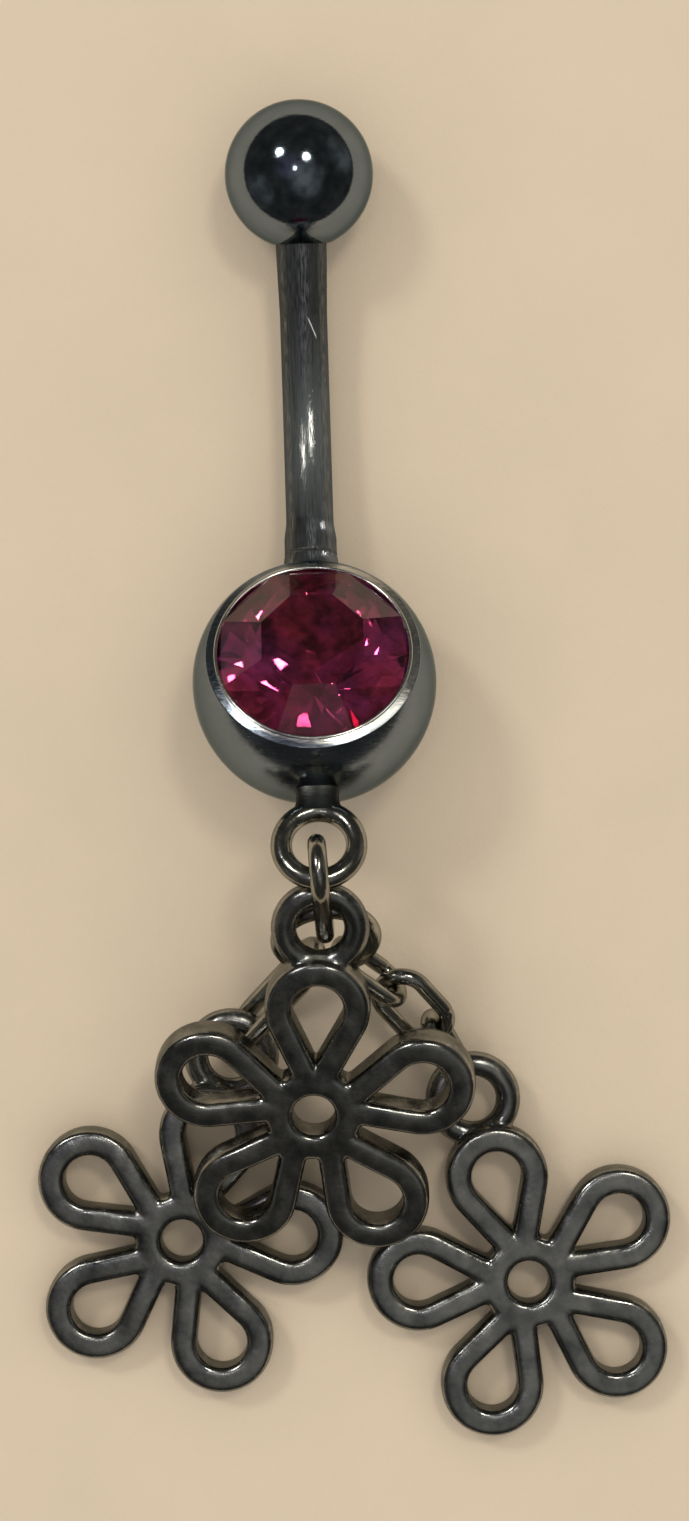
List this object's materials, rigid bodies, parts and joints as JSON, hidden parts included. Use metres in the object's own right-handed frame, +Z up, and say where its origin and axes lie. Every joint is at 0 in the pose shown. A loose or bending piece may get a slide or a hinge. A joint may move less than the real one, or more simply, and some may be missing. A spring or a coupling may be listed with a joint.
{
  "type": "navel ring",
  "caption": "Curved navel barbell with a screwed top ball, a pink stone set in its large ball, and openwork flower charms hung on short chains.",
  "frame": {"origin": "on the surface that the jewel lies on, right under the middle of the large ball", "axes": "+Y along the jewel from the large ball to the top ball, as seen from above; +X to the right; +Z up from the surface"},
  "size_m": [0.0215, 0.0452, 0.0091],
  "materials": {
    "polished_steel": "polished, with fine lengthwise scratches on the bar",
    "dark_steel": "glossy dark cast metal, worn bright on the edges",
    "pink_stone": "faceted deep pink crystal with a foil back"
  },
  "bodies": {
    "jewel": {"barbell": "polished_steel", "gem": "pink_stone", "drop_link": "dark_steel", "gather_ring": "dark_steel", "left_link": "dark_steel", "right_link_1": "dark_steel", "right_link_2": "dark_steel", "right_link_3": "dark_steel", "centre_charm": "dark_steel", "left_charm": "dark_steel", "right_charm": "dark_steel"},
    "top_ball": {"top_ball": "polished_steel"}
  },
  "joints": [
    {"name": "ball_unscrew", "type": "slide", "parent": "jewel", "child": "top_ball", "axis": [-0.0311, 0.989, 0.1446], "range_m": [0, 0.004]}
  ]
}
